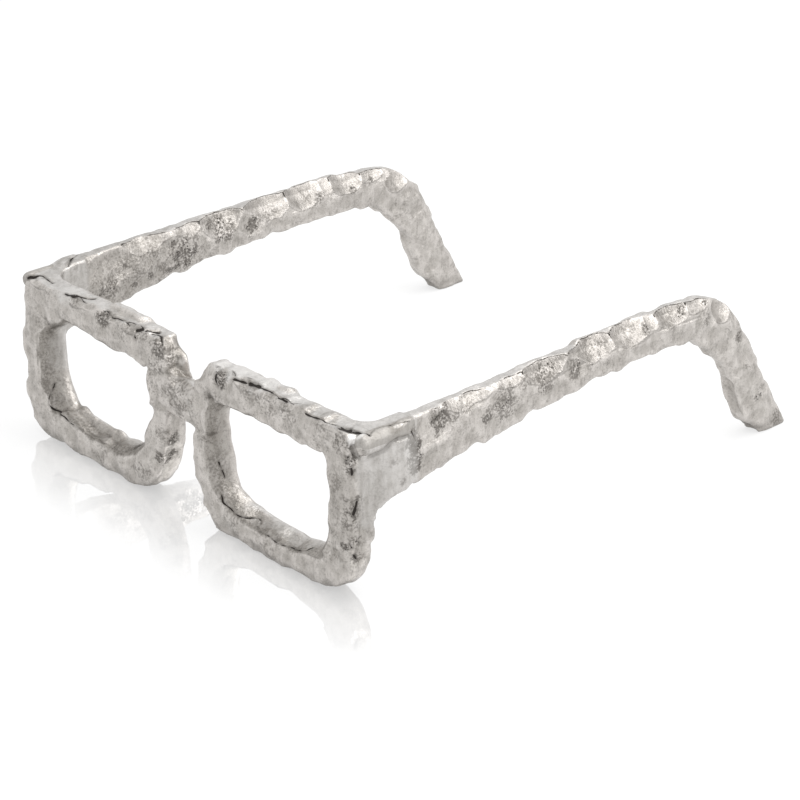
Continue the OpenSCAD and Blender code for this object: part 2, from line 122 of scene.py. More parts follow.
def newCollection(name):
    group = bpy.data.collections.new(name)
    bpy.context.scene.collection.children.link(group)
    return group


def moveInto(group, piece):
    for old in list(piece.users_collection):
        old.objects.unlink(piece)
    group.objects.link(piece)


def emptyCollection(group):
    for piece in list(group.objects):
        bpy.data.objects.remove(piece)
    bpy.data.collections.remove(group)


def copyOfNode(node, name):
    source = nodes[node]
    piece = bpy.data.objects.new(name, source.data.copy())
    bpy.context.scene.collection.objects.link(piece)
    pick(piece)
    bpy.ops.object.mode_set(mode="EDIT")
    bpy.ops.mesh.select_all(action="SELECT")
    bpy.ops.mesh.remove_doubles(threshold=0.000002)
    bpy.ops.object.mode_set(mode="OBJECT")
    return piece


def useModifier(piece, kind, **values):
    pick(piece)
    modifier = piece.modifiers.new(kind.title(), kind)
    for key, value in values.items():
        setattr(modifier, key, value)
    bpy.ops.object.modifier_apply(modifier=modifier.name)


def remesh(piece, voxel):
    useModifier(piece, "REMESH", mode="VOXEL", voxel_size=voxel * mm)


def grow(piece, amount):
    useModifier(piece, "DISPLACE", strength=amount * mm, mid_level=0)


def setMaterial(piece, material):
    piece.data.materials.clear()
    piece.data.materials.append(material)


# Shader building
def newMaterial(name):
    material = bpy.data.materials.new(name)
    material.use_nodes = True
    material.node_tree.nodes.clear()
    return material, material.node_tree


def addNode(tree, kind, **values):
    node = tree.nodes.new(kind)
    for key, value in values.items():
        if hasattr(node, key) and key not in node.inputs:
            setattr(node, key, value)
        else:
            node.inputs[key].default_value = value
    return node


def mathNode(tree, operation, a, b=None, clamp=False):
    node = tree.nodes.new("ShaderNodeMath")
    node.operation = operation
    node.use_clamp = clamp
    for socket, value in zip(node.inputs, (a, b)):
        if value is None:
            continue
        if isinstance(value, (int, float)):
            socket.default_value = value
        else:
            tree.links.new(value, socket)
    return node.outputs[0]


def times(tree, a, b):
    return mathNode(tree, "MULTIPLY", a, b)


def plus(tree, a, b, clamp=False):
    return mathNode(tree, "ADD", a, b, clamp)


def larger(tree, a, b):
    return mathNode(tree, "MAXIMUM", a, b)


def ramp(tree, value, low, high, fromValue=0.0, toValue=1.0):
    node = addNode(tree, "ShaderNodeMapRange", interpolation_type="SMOOTHSTEP")
    tree.links.new(value, node.inputs["Value"])
    node.inputs["From Min"].default_value = low
    node.inputs["From Max"].default_value = high
    node.inputs["To Min"].default_value = fromValue
    node.inputs["To Max"].default_value = toValue
    return node.outputs[0]


def noise(tree, place, scale, detail=3.0, roughness=0.55, offset=(0, 0, 0), stretch=(1, 1, 1)):
    mapping = addNode(tree, "ShaderNodeMapping", Location=offset, Scale=stretch)
    tree.links.new(place, mapping.inputs["Vector"])
    node = addNode(tree, "ShaderNodeTexNoise", Scale=scale, Detail=detail, Roughness=roughness)
    tree.links.new(mapping.outputs[0], node.inputs["Vector"])
    return node.outputs["Fac"]


def blendColours(tree, share, first, second):
    node = tree.nodes.new("ShaderNodeMix")
    node.data_type = "RGBA"
    node.clamp_factor = True
    tree.links.new(share, node.inputs[0])
    for socket, value in ((node.inputs[6], first), (node.inputs[7], second)):
        if isinstance(value, tuple):
            socket.default_value = (*value, 1)
        else:
            tree.links.new(value, socket)
    return node.outputs[2]


def attribute(tree, name):
    return addNode(tree, "ShaderNodeAttribute", attribute_name=name).outputs["Fac"]


markNames = ("relief", "stain", "dressed", "crackAndShadowLine", "paintedShade", "highlightAndGloss")
# Patterns in the metal, from coarse to fine: about how many of their marks lie in a metre
patterns = {"cloud": 70, "clusters": 95, "patch": 190, "streak": 420, "grain": 1400}


# Plated casting: ridges are worn pale, hollows and stained patches keep a dark mottled grain; painted shade and painted
# highlights lie over it
def castMetal(name, look):
    material, tree = newMaterial(name)
    place = addNode(tree, "ShaderNodeTexCoord").outputs["Object"]
    relief, stain, dressed, crackAndShadowLine, paintedShade, highlightAndGloss = (attribute(tree, kind) for kind in markNames)
    facing = addNode(tree, "ShaderNodeSeparateXYZ")
    tree.links.new(addNode(tree, "ShaderNodeNewGeometry").outputs["Normal"], facing.inputs[0])
    cloud = noise(tree, place, patterns["cloud"], 3, 0.6, offset=(3, 1, 2))
    patch = noise(tree, place, patterns["patch"], 4, 0.6, offset=(1, 8, 5))
    streak = noise(tree, place, patterns["streak"], 3, 0.6, offset=(6, 6, 2), stretch=(1, 1, 0.22))
    grain = noise(tree, place, patterns["grain"], 2, 0.65)
    worn = plus(tree, ramp(tree, relief, -0.1, 0.14), ramp(tree, cloud, 0.35, 0.65, -0.3, 0.3), clamp=True)
    colour = blendColours(tree, worn, look["mid"], look["pale"])
    # The flat top was dressed on a belt, so it is smoother and a little cooler; the filed metal and the painted
    # highlight spots take the same finish
    flat = larger(tree, ramp(tree, facing.outputs[2], 0.9, 0.985, 0, look["flatShare"]), larger(tree, dressed, highlightAndGloss))
    colour = blendColours(tree, flat, colour, look["flat"])
    rough = mathNode(tree, "SUBTRACT", 1.0, times(tree, flat, 0.7))
    # Painted shade dulls what faces the front; grime lies in streaks and patches
    frontShade = ramp(tree, facing.outputs[1], -0.95, -0.3, look["frontGrime"], 0)
    streaky = ramp(tree, streak, 0.42, 0.66, 0, look["streak"])
    patchy = times(tree, ramp(tree, patch, 0.44, 0.66, 0, look["patch"]), rough)
    # Painted shade darkens the lens openings' walls and the spots the lamps would catch, in streaks; painted highlights
    # brighten listed spots
    wallShadeShare = times(tree, paintedShade, ramp(tree, streak, 0.3, 0.65, look["paintedWallShade"], 1))
    for share in (frontShade, streaky, patchy, wallShadeShare):
        colour = blendColours(tree, share, colour, look["dull"])
    colour = blendColours(tree, highlightAndGloss, colour, look["highlight"])
    # Dark mottled grain, thick in the stains and thin elsewhere
    mottle = noise(tree, place, look["mottleScale"], 3, 0.6, offset=(4, 2, 9))
    amount = plus(tree, times(tree, stain, look["stainPull"]), ramp(tree, patch, 0.35, 0.7, -0.06, 0.08))
    weight = plus(tree, look["mottleShade"], times(tree, stain, look["stainShade"]), clamp=True)
    mottled = times(tree, ramp(tree, plus(tree, mottle, amount), 0.5, 0.72), times(tree, rough, weight))
    colour = blendColours(tree, mottled, colour, look["dark"])
    grainy = times(tree, ramp(tree, grain, 0.5, 0.72, 0, look["grain"]), rough)
    colour = blendColours(tree, grainy, colour, look["dark"])
    # Pits stand in loose clusters and in the stains
    pits = addNode(tree, "ShaderNodeTexVoronoi", Scale=look["pitScale"], Randomness=1.0)
    tree.links.new(place, pits.inputs["Vector"])
    clusters = noise(tree, place, patterns["clusters"], 3, 0.55, offset=(7, 5, 1))
    size = plus(tree, ramp(tree, clusters, look["pitFrom"], look["pitFrom"] + 0.2, 0, look["pitSize"]),
                ramp(tree, stain, 0.45, 1.0, 0, look["stainPits"]))
    near = mathNode(tree, "SUBTRACT", times(tree, size, rough), pits.outputs["Distance"])
    pit = larger(tree, ramp(tree, near, 0.0, 0.3, 0, look["pitShade"]),
                 ramp(tree, crackAndShadowLine, 0.72, 0.84, 0, look["crackShade"]))
    colour = blendColours(tree, ramp(tree, crackAndShadowLine, 0.15, 0.8, 0, look["crackDirt"]), colour, look["dark"])
    colour = blendColours(tree, pit, colour, look["pit"])
    # Painted shade: an ambient occlusion pass darkens corners and openings
    corner = addNode(tree, "ShaderNodeAmbientOcclusion", samples=8, Distance=look["cornerReach"])
    shade = ramp(tree, corner.outputs["AO"], look["cornerFrom"], 0.95, look["cornerShade"], 0)
    colour = blendColours(tree, shade, colour, look["dark"])
    shader = addNode(tree, "ShaderNodeBsdfPrincipled", Metallic=look["metallic"])
    tree.links.new(colour, shader.inputs["Base Color"])
    gloss = plus(tree, ramp(tree, cloud, 0.3, 0.7, look["rough"], look["rough"] + 0.1),
                 times(tree, larger(tree, pit, mottled), 0.25))
    tree.links.new(gloss, shader.inputs["Roughness"])
    fine = times(tree, times(tree, grain, rough), look["grainHeight"])
    sandy = times(tree, times(tree, mottle, rough), look["sandHeight"])
    wavy = times(tree, patch, look["waveHeight"])
    sunk = times(tree, pit, -look["pitDepth"])
    height = plus(tree, plus(tree, fine, sandy), plus(tree, sunk, wavy))
    bump = addNode(tree, "ShaderNodeBump", Strength=1.0, Distance=0.001)
    tree.links.new(height, bump.inputs["Height"])
    tree.links.new(bump.outputs[0], shader.inputs["Normal"])
    output = addNode(tree, "ShaderNodeOutputMaterial")
    tree.links.new(shader.outputs[0], output.inputs[0])
    return material


hammeredLook = {
    "pale": (0.648, 0.616, 0.585),
    "mid": (0.5, 0.473, 0.443),
    "dull": (0.3, 0.28, 0.255),
    "dark": (0.15, 0.138, 0.125),
    "pit": (0.035, 0.03, 0.027),
    "flat": (0.62, 0.606, 0.59),
    "highlight": (0.79, 0.775, 0.755),
    "flatShare": 0.75,              # how much of the flat tops is dressed
    "frontGrime": 0.03,             # how much painted shade dulls what faces the front
    "streak": 0.25,                 # how dull the upright streaks are
    "paintedWallShade": 0.6,               # how dark the painted shade is on the opening walls' palest streaks
    "patch": 0.3,                   # how dull the patches are
    "stainPull": 0.15,              # how much thicker the mottled grain is in a stain
    "mottleScale": 900,
    "mottleShade": 0.3,             # how dark the mottled grain is outside the stains
    "stainShade": 0.46,             # how much darker it is in them
    "grain": 0.3,
    "pitScale": 700,
    "pitFrom": 0.6,                 # where in the cluster pattern pits begin
    "pitSize": 0.35,
    "stainPits": 0.4,
    "pitShade": 0.8,
    "crackShade": 0.95,
    "crackDirt": 0.5,               # how dark the dirt beside a crack is, and the painted shadow beside a shadow line
    "pitDepth": 0.22,
    "cornerReach": 0.012,           # metres that a corner shades
    "cornerFrom": 0.25,
    "cornerShade": 0.55,
    "metallic": 1.0,
    "rough": 0.38,                  # least roughness
    "grainHeight": 0.08,
    "sandHeight": 0.16,
    "waveHeight": 0.65,             # heights and depths of the bumps, in mm
}
weldLook = dict(hammeredLook, flat=(0.45, 0.43, 0.405), pale=(0.5, 0.48, 0.455), rough=0.55)
dowelLook = dict(hammeredLook, pale=(0.45, 0.46, 0.48), mid=(0.4, 0.41, 0.43), grain=0.1, pitFrom=0.7, sandHeight=0.05,
                 frontGrime=0, waveHeight=0.1)
roughCast = castMetal("roughCast", hammeredLook)
filedMetal = castMetal("filedMetal", hammeredLook)
weldMetal = castMetal("weldMetal", weldLook)
drawnRod = castMetal("drawnRod", dowelLook)
print("metals made")

# The whole casting is smoothed and hammered in one, then parted at its seams, so that its pieces meet.
# Lengths are in mm
hammering = {
    "voxel": 0.7,
    "grow": 0.15,                   # neighbours overlap by twice this before they are joined
    "smooth": 5,
    "capHeight": 3.0,               # how far a blow's cap clears the metal above it
    "fineVoxel": 0.5,
    "fineSmooth": 1,
    "dentSize": 6.5,                # small overlapping dents all over
    "dentDepth": 0.4,
    "lumpSize": 3.2,
    "lumpHeight": 0.2,
    "calmer": 0.75,                 # how much fainter these are on the flat tops and on the filed metal
    "reliefReach": 24,              # smoothing passes that tell ridges from hollows
    "mendReach": 6,                 # passes that carry marks over a seam's new points
    "bigCrown": 40,                 # a crown of a longer radius gets finer faces
    "smoothAngle": 55,              # edges sharper than this stay sharp, in degrees
}
front = viewpoint["frontFace"] * 1000

# Both temples come from one mould. Each blow: distance behind the front, inward, height, tilt up, radius, depth
templeMould = [
    (43, 0.5, 72.5, 8, 12, 1.3),
    (62, 1.5, 77.5, 35, 12, 1.8),
    (90, 1.0, 78.6, 35, 9, 1.3),
    (98, 1.0, 79.0, 40, 6, 1.0),
    (109, 1.5, 77.2, 33, 11, 2.2),
    (128, 0.0, 72.8, 8, 8, 1.2),
    (140, 2.0, 77.6, 38, 12, 2.3),
    (163, 2.5, 78.4, 40, 11, 2.2),
    (177, 2.0, 79.4, 42, 6, 1.3),
    (190, 2.3, 79.3, 40, 10, 2.1),
    (207, 1.5, 79.6, 38, 9, 1.5),
    (224, 1.0, 70.5, 30, 6, 1.3),
]
temples = {
    "right": {"face": 119.5, "back": 0, "lift": 0},
    "left": {"face": -109, "back": 5.5, "lift": -3},
}
templeLift = {"from": 40, "over": 130}  # the lift begins here behind the front, and is full this much further back
# Blows on the rims' upper front edges: place across, radius, depth
rimEdges = [(-14, 8, 1.7), (-33, 8, 1.5), (-51, 7, 1.6), (-66, 6, 1.1), (-77, 9, 1.8), (-92, 6, 1.0), (-105, 9, 1.7),
            (17, 6, 1.1), (30, 8, 1.8), (47, 9, 1.8), (61, 6, 1.2), (73, 8, 1.1), (86, 6, 0.8), (99, 9, 1.2)]
edgeLine = (1.0, 78.9)              # how far behind the front and how high those blows are
edgeTilt = 52                       # how far they lean up from the front, in degrees
# Blows that scallop the rims' outlines: across, height, direction across and up, radius, depth
rimRound = [
    (-117.3, 36, -1, 0, 7, 1.2), (-117, 64, -1, 0, 7, 0.6), (-116, 13, -1, -0.4, 6, 1.1), (-89, 0.5, 0, -1, 6, 1.3),
    (-69, 0.3, 0, -1, 7, 0.6), (-49, 0.3, 0, -1, 6, 0.5), (-11, 17, 1, -0.3, 6, 1.0), (-9, 67, 1, 0.6, 5, 1.0),
    (-62, 62.4, 0, -1, 6, 0.8), (-47, 62.4, 0, -1, 5, 0.5), (-33, 62, 0, -1, 6, 0.8), (-78, 62.4, 0, -1, 6, 0.4),
    (-24, 48, -1, 0, 7, 1.0), (-100, 44, 1, 0, 7, 0.8), (-99, 26, 1, 0.3, 6, 0.6), (-82, 14, 0, 1, 7, 0.6),
    (-58, 14, 0, 1, 7, 0.5), (10.2, 35, -1, 0, 5, 0.7), (11, 19, -1, -0.3, 5, 0.9), (19, 5, -1, -1, 6, 1.5),
    (40, 0.5, 0, -1, 6, 0.5), (78, 0.5, 0, -1, 6, 0.6), (97, 0.8, 0, -1, 7, 0.6), (114, 20, 1, 0, 6, 0.8),
    (114, 46, 1, 0, 6, 0.6), (52, 62.4, 0, -1, 6, 0.9), (68, 62.4, 0, -1, 5, 0.7), (83, 62.4, 0, -1, 6, 0.9),
    (37, 62.4, 0, -1, 5, 0.5), (98.5, 53, -1, 0, 6, 0.6), (98, 34, -1, 0, 6, 0.7), (24, 48, 1, 0, 7, 0.8),
    (25, 28, 1, 0.2, 6, 0.6), (47, 14, 0, 1, 7, 0.9), (66, 14, 0, 1, 7, 1.1), (86, 15, 0, 1, 6, 0.9),
]
roundBehind = 1.5                   # how far behind the front those are
roundLean = 0.7                     # how far they lean towards the front


def templeBlows(side):
    found = []
    for y, inward, z, tilt, radius, depth in templeMould:
        rise = side["lift"] * min(1, max(0, (y - templeLift["from"]) / templeLift["over"]))
        point = (side["face"] - inward, front + y + side["back"], z + rise)
        found.append((point, (math.cos(math.radians(tilt)), 0, math.sin(math.radians(tilt))), radius, depth))
    return found


def rimBlows():
    outward = (0, -math.cos(math.radians(edgeTilt)), math.sin(math.radians(edgeTilt)))
    behind, height = edgeLine
    found = [((x, front + behind, height), outward, radius, depth) for x, radius, depth in rimEdges]
    for x, z, across, up, radius, depth in rimRound:
        found.append(((x, front + roundBehind, z), (across, -roundLean, up), radius, depth))
    return found


def cutWith(piece, cutter, operation="DIFFERENCE"):
    pick(piece)
    modifier = piece.modifiers.new("Cut", "BOOLEAN")
    modifier.operation = operation
    modifier.solver = "MANIFOLD"
    if isinstance(cutter, bpy.types.Collection):
        modifier.operand_type = "COLLECTION"
        modifier.collection = cutter
    else:
        modifier.object = cutter
    bpy.ops.object.modifier_apply(modifier=modifier.name)


# Each blow cuts out a cap of the hammer's crown: point, outward direction, radius, depth
def strike(piece, blows):
    crowns = newCollection("crowns")
    for point, outward, radius, depth in blows:
        outward = Vector(outward).normalized()
        crown = (radius * radius + depth * depth) / (2 * depth)
        foot = Vector(point) * mm
        deselectAll()
        bpy.ops.mesh.primitive_ico_sphere_add(subdivisions=6 if crown > hammering["bigCrown"] else 5,
                                              radius=crown * mm, location=foot + outward * (crown - depth) * mm)
        bpy.ops.object.mode_set(mode="EDIT")
        bpy.ops.mesh.select_all(action="SELECT")
        bpy.ops.mesh.bisect(plane_co=foot + outward * hammering["capHeight"] * mm, plane_no=outward,
                            use_fill=True, clear_outer=True)
        bpy.ops.object.mode_set(mode="OBJECT")
        moveInto(crowns, bpy.context.object)
    cutWith(piece, crowns)
    emptyCollection(crowns)


# Drops the closed dowel holes inside the joined casting
def keepLargest(piece):
    pick(piece)
    bpy.ops.object.mode_set(mode="EDIT")
    bpy.ops.mesh.separate(type="LOOSE")
    bpy.ops.object.mode_set(mode="OBJECT")
    parts = sorted(bpy.context.selected_objects, key=lambda part: len(part.data.vertices))
    for part in parts[:-1]:
        bpy.data.objects.remove(part)
    return parts[-1]


# Copies of the nodes, each grown by a hair so that neighbours overlap, become one skin
def joinedCasting(names, settings, blows):
    others = newCollection("others")
    for name in names:
        part = copyOfNode(name, name + "Copy")
        remesh(part, settings["voxel"])
        grow(part, settings["grow"])
        moveInto(others, part)
    whole = others.objects[0]
    moveInto(bpy.context.scene.collection, whole)
    cutWith(whole, others, "UNION")
    emptyCollection(others)
    remesh(whole, settings["voxel"])
    whole = keepLargest(whole)
    whole.name = "wholeCasting"
    useModifier(whole, "SMOOTH", factor=0.5, iterations=settings["smooth"])
    strike(whole, blows)
    remesh(whole, settings["fineVoxel"])
    useModifier(whole, "SMOOTH", factor=0.5, iterations=settings["fineSmooth"])
    print("casting hammered:", len(whole.data.polygons), "faces")
    return whole


blows = templeBlows(temples["right"]) + templeBlows(temples["left"]) + rimBlows()
whole = joinedCasting(list(nodes), hammering, blows)


# Tables of the mesh, one row a vertex
def vertexTable(piece, kind="co"):
    table = np.empty(len(piece.data.vertices) * 3, np.float32)
    piece.data.vertices.foreach_get(kind, table)
    return table.reshape(-1, 3).astype(np.float64)


def placeVertices(piece, table):
    piece.data.vertices.foreach_set("co", table.astype(np.float32).ravel())
    piece.data.update()


def edgeTable(piece):
    table = np.empty(len(piece.data.edges) * 2, np.int32)
    piece.data.edges.foreach_get("vertices", table)
    return table.reshape(-1, 2)


def neighbourMean(values, edges):
    count = len(values)
    degree = np.bincount(edges.ravel(), minlength=count).clip(1)
    total = np.empty_like(values)
    for column in range(values.shape[1]):
        total[:, column] = (np.bincount(edges[:, 0], values[edges[:, 1], column], count)
                            + np.bincount(edges[:, 1], values[edges[:, 0], column], count))
    return total / degree[:, None]


def writeAttribute(piece, name, values):
    held = piece.data.attributes.get(name) or piece.data.attributes.new(name, "FLOAT", "POINT")
    held.data.foreach_set("value", values.astype(np.float32))


def fade(value, low, high):
    t = np.clip((value - low) / (high - low), 0, 1)
    return t * t * (3 - 2 * t)


# Slow, even wander for the edges of stains and cracks
def wander(place, pitch, turn):
    x, y, z = (place[:, axis] / pitch for axis in range(3))
    waves = (x * 6.1 + y * 2.3 + turn, y * 5.3 - z * 3.1 + turn * 2, z * 6.7 + x * 1.9 - turn)
    return (np.sin(waves[0]) + np.sin(waves[1]) + np.sin(waves[2])) / 3


# Where the end pieces and beads are, the metal was filed after welding
filing = {
    "lowest": 36,                   # height where it ends below
    "margin": (3, -2, 3),           # how far it spreads past the end piece across, back and up
    "wander": 1.2,                  # how far its edge strays
    "edge": (0.5, 4),               # how far out its edge begins and ends
    "strength": 0.65,
}


def dressedShare(place):
    share = np.zeros(len(place))
    for side in ("left", "right"):
        low, high = (np.array(corner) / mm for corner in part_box("end_piece_" + side))
        low[2] = filing["lowest"]
        away = np.linalg.norm(np.maximum(0, np.maximum(low - place, place - high - filing["margin"])), axis=1)
        share = np.maximum(share, 1 - fade(away + wander(place, 9, 2) * filing["wander"], *filing["edge"]))
    return share


# A fine dark crack stands along the upper edge of each larger blow, and a fainter painted shadow line under the lip
# along its lower edge
edgeLines = {
    "smallest": 5.5,                # a blow of a smaller radius leaves no line
    "lean": 0.3,                    # nor does one that faces less far up
    "cracked": 7,                   # radius past which the upper edge is cracked
    "upper": (0.6, 1.8),            # how far above the blow's middle the crack begins and is full
    "lower": (0.5, 2),              # the same below it, for the painted shadow line
    "lowerShare": 0.8,              # how dark the painted shadow line is beside the crack
    "broken": (-0.6, -0.25),        # the wander's level where the crack stops, and where it is whole
    "reach": (1.3, 1.6),            # where the lines fade out, in radii
    "offset": 0.2,                  # how far outside the crown's skin they lie
    "width": 0.55,
    "depth": 0.2,
}


def facetEdges(piece):
    place = vertexTable(piece) / mm
    line = np.zeros(len(place))
    for turn, (point, outward, radius, depth) in enumerate(blows):
        if radius < edgeLines["smallest"] or outward[2] < edgeLines["lean"]:
            continue
        outward = np.array(outward) / np.linalg.norm(outward)
        crown = (radius * radius + depth * depth) / (2 * depth)
        away = place - np.array(point)
        gap = np.linalg.norm(away - outward * (crown - depth), axis=1) - crown
        uphill = np.array([0, 0, 1]) - outward * outward[2]
        height = away @ uphill / np.linalg.norm(uphill)
        unbroken = fade(wander(place, 13, turn * 3), *edgeLines["broken"])
        share = fade(height, *edgeLines["upper"]) * unbroken * (radius > edgeLines["cracked"])
        share = np.maximum(share, edgeLines["lowerShare"] * fade(-height, *edgeLines["lower"]))
        share *= 1 - fade(np.linalg.norm(away, axis=1), *(radius * reach for reach in edgeLines["reach"]))
        line = np.maximum(line, np.clip(1 - abs(gap - edgeLines["offset"]) / edgeLines["width"], 0, 1) * share)
    return line


def dent(piece, texture, size, depth):
    pattern = bpy.data.textures.new(texture.lower() + "Dents", texture)
    pattern.noise_scale = size * mm
    if texture == "VORONOI":
        pattern.distance_metric = "DISTANCE_SQUARED"
    useModifier(piece, "DISPLACE", texture=pattern, texture_coords="LOCAL", strength=depth * mm, mid_level=0.5)


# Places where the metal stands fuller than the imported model, or leaner where the height is negative: the start and
# the end of a line (across, behind the front, height; no end for a point), the way it swells, reach and height
swells = [
    ((-84, 13, 12), (-64, 13, 11), (0, 0, 1), 10, 3.8), ((-94, 13, 20), (-92, 13, 18), (1, 0, 1), 5, 0.6),
    ((-24, 2, 42), (-26, 2, 32), (-1, 0, 0), 8, 3.0), ((-23, 2, 59), (-23, 2, 57), (-1, 0, -0.3), 7, 2.3),
    ((-94, 4, 63), (-93, 4, 63), (1, 0, -1), 8, 2.3), ((-51, 3, 63), (-50, 3, 63), (0, 0, -1), 6, 1.3),
    ((100, 2, 54), (100, 2, 38), (-1, 0, 0), 8, 1.4), ((22, 12, 42), (25, 12, 25), (1, 0, 0), 8, 2.0),
    ((66, 3, 64), None, (0, 0, -1), 5, 1.4), ((80, 3, 64), None, (0, 0, -1), 5, 1.6),
    ((-12.5, 13, 68), (-12.5, 13, 61), (1, 0, 0), 7, 3.2), ((10.5, 1, 38), (10.5, 1, 24), (-1, 0, 0), 8, 2.5),
    ((113, 12, 34), (113, 12, 30), (1, 0, 0), 6, 2.0), ((118, 17, 46), (118, 25, 48.5), (0, 0, -1), 7, 2.2),
    ((119, 50, 53), None, (0, 0, -1), 6, 1.2), ((119, 76, 57.5), (119, 92, 59.5), (0, 0, -1), 8, 2.2),
    ((119, 108, 61), (119, 130, 63), (0, 0, -1), 7, 1.6), ((118, 157, 65), None, (0, 0, -1), 7, 1.2),
    ((118, 182, 66), (118, 196, 65.5), (0, 0, -1), 8, 1.8), ((110, 138, 80), (110, 175, 80), (-0.5, 0, 1), 7, 1.1),
    ((-115, 28, 78), (-115, 185, 78), (-0.3, 0, 1), 12, 1.7), ((-109, 118, 62), None, (0, 0, -1), 7, 1.3),
    ((-109, 188, 64), (-109, 204, 63), (0, 0, -1), 7, 1.3), ((-114, 247, 57), (-114, 254, 46), (0, 1, 0.3), 8, 2.2),
    ((-114, 267, 14), (-114, 268, 13), (0, 1, 0.3), 6, 1.3),
    ((114, 243.5, 51), (114, 249.5, 41), (0, 1, 0.3), 8, 1.8), ((114, 261, 20), (114, 272, 3), (0, 1, 0.3), 8, 1.8),
    ((114, 231, 28), (114, 236, 15), (0, -1, -0.3), 7, -2.6), ((-117.5, 1, 48), (-117.5, 1, 42), (-1, 0, 0), 7, 2.4),
    ((-117.5, 1, 22), None, (-1, 0, 0), 6, 2.2), ((-54, 12, 79), (-38, 12, 79), (0, 0, 1), 8, 2.0),
    ((54, 12, 78), (63, 12, 78), (0, 0, 1), 7, 1.4), ((14, 3, 74), (14, 10, 74), (-1, 0, 0.7), 7, -2.0),
    ((-109, 147, 64.5), None, (0, 0, 1), 7, 2.9), ((-6, 13, 65), (3, 13, 65), (0, 0, 1), 8, -3.0),
    ((-12, 8, 70), (-12, 8, 69), (1, 0, 0), 7, 1.0), ((-100.5, 0.5, 50), (-100.5, 0.5, 27), (-1, 0, 0), 7, 3.0),
    ((20.5, 0.5, 54), (20, 0.5, 30), (-1, 0, 0), 6, 2.0), ((119, 4.5, 73), (119, 13, 70), (0, -0.4, -1), 6, 2.0),
    ((-88, 0.5, 14), (-62, 0.5, 13), (0, 0, 1), 7, 3.4), ((-12, 11, 76), (-13, 4, 77), (1, 0, 0.4), 6, -1.2),
    ((-10.5, 5, 66), (-10.5, 10, 66), (0.7, 0, 0.7), 5, 1.2), ((114, 215.6, 53), None, (0, -1, -0.3), 6, -1.2),
    ((-114, 223.8, 50.5), None, (0, -1, -1), 6, -2), ((-114, 247, 6), (-114, 248, 2), (0, -1, 0), 6, 2.2),
    ((114, 243, 6), (114, 244, 2), (0, -1, 0), 6, 1.5), ((-114, 243.9, 63), None, (0, 1, 0.6), 6, 1.4),
    ((-114, 258, 40), (-114, 260, 36), (0, 1, 0.3), 6, 1.2), ((-114, 268.3, 20.6), None, (0, 1, 0.3), 6, 1.2),
    ((114, 261.3, 25.2), None, (0, 1, 0.3), 6, 1.2), ((119, 85, 57), None, (0, 0, -1), 6, 1.2),
    ((119, 140, 64.4), None, (0, 0, -1), 6, -1.0), ((118, 198, 64), (118, 200, 63.5), (0, 0, -1), 6, 1.2),
    ((-109, 62.7, 57.3), None, (0, 0, -1), 7, -2.0), ((-109, 90, 58.4), None, (0, 0, -1), 6, 1.1),
    ((-109, 206.4, 60.4), None, (0, 0, -1), 6, 1.0), ((-112, 216.6, 55.5), None, (0, -0.5, -0.8), 6, -1.5),
    ((44, 13, 12), (50, 13, 12), (0, 0, 1), 7, 1.2), ((70, 13, 11), None, (0, 0, 1), 6, 0.9),
    ((-28, 0.5, 64), (-27, 0.5, 58), (-1, 0, -0.7), 6, 1.5), ((93, 2.5, 61.5), None, (0.3, 0, 1), 4, 1.2),
    ((-84, 13, 13), (-78, 13, 12.5), (0, 0, 1), 6, 1.2), ((-57, 13, 12), (-48, 13, 12.5), (0, 0, 1), 6, 1.6),
]


def swell(piece):
    place = vertexTable(piece) / mm
    moved = np.zeros_like(place)
    for start, end, way, reach, height in swells:
        start, end = (np.array(spot, float) + (0, front, 0) for spot in (start, end or start))
        way = np.array(way) / np.linalg.norm(way)
        along = np.clip((place - start) @ (end - start) / max((end - start) @ (end - start), 1e-6), 0, 1)
        away = np.linalg.norm(place - start - along[:, None] * (end - start), axis=1)
        moved += way * ((1 - fade(away, reach * 0.3, reach)) * height)[:, None]
    placeVertices(piece, (place + moved) * mm)


# The share of each vertex in a list of round patches: across, behind the front, height, radius, strength
def patches(place, spots):
    share = np.zeros(len(place))
    for x, y, z, radius, strength in spots:
        away = np.linalg.norm(place - np.array([x, front + y, z]), axis=1) + wander(place, 6, x) * radius * 0.3
        share = np.maximum(share, strength * (1 - fade(away, radius * 0.5, radius)))
    return share


# A lens opening's walls lie this far inside the rim's box, and turn this far towards the opening's middle
openingWall = {"margin": (5, -1, 5), "turned": (0.3, 0.65)}


def facingOpening(place, normal, side):
    low, high = (np.array(corner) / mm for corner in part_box("rim_" + side))
    inward = (low + high) / 2 - place
    inward[:, 1] = 0
    inward /= np.linalg.norm(inward, axis=1)[:, None]
    inside = np.all((place > low + openingWall["margin"]) & (place < high - openingWall["margin"]), axis=1)
    return fade((normal * inward).sum(1) * inside, *openingWall["turned"])


# The openings' walls were cast and never hammered, so the waves are evened out there
evening = {"edgeBlur": 4, "rounds": 45}
# Corners and lips that are evened out with them
evened = [(-88.5, 13, 17, 7, 1), (-63, 13, 13.5, 6, 1), (93, 2.5, 62, 4.5, 1)]


def evenWalls(piece, settings):
    place, normal, edges = vertexTable(piece), vertexTable(piece, "normal"), edgeTable(piece)
    share = np.zeros((len(place), 1))
    for side in ("left", "right"):
        share = np.maximum(share, facingOpening(place / mm, normal, side)[:, None])
    share = np.maximum(share, patches(place / mm, evened)[:, None])
    for turn in range(settings["edgeBlur"]):
        share = neighbourMean(share, edges)
    edges = edges[(share[edges, 0] > 0).any(1)]
    for turn in range(settings["rounds"]):
        place += (neighbourMean(place, edges) - place) * share
    placeVertices(piece, place)
    print("walls evened")


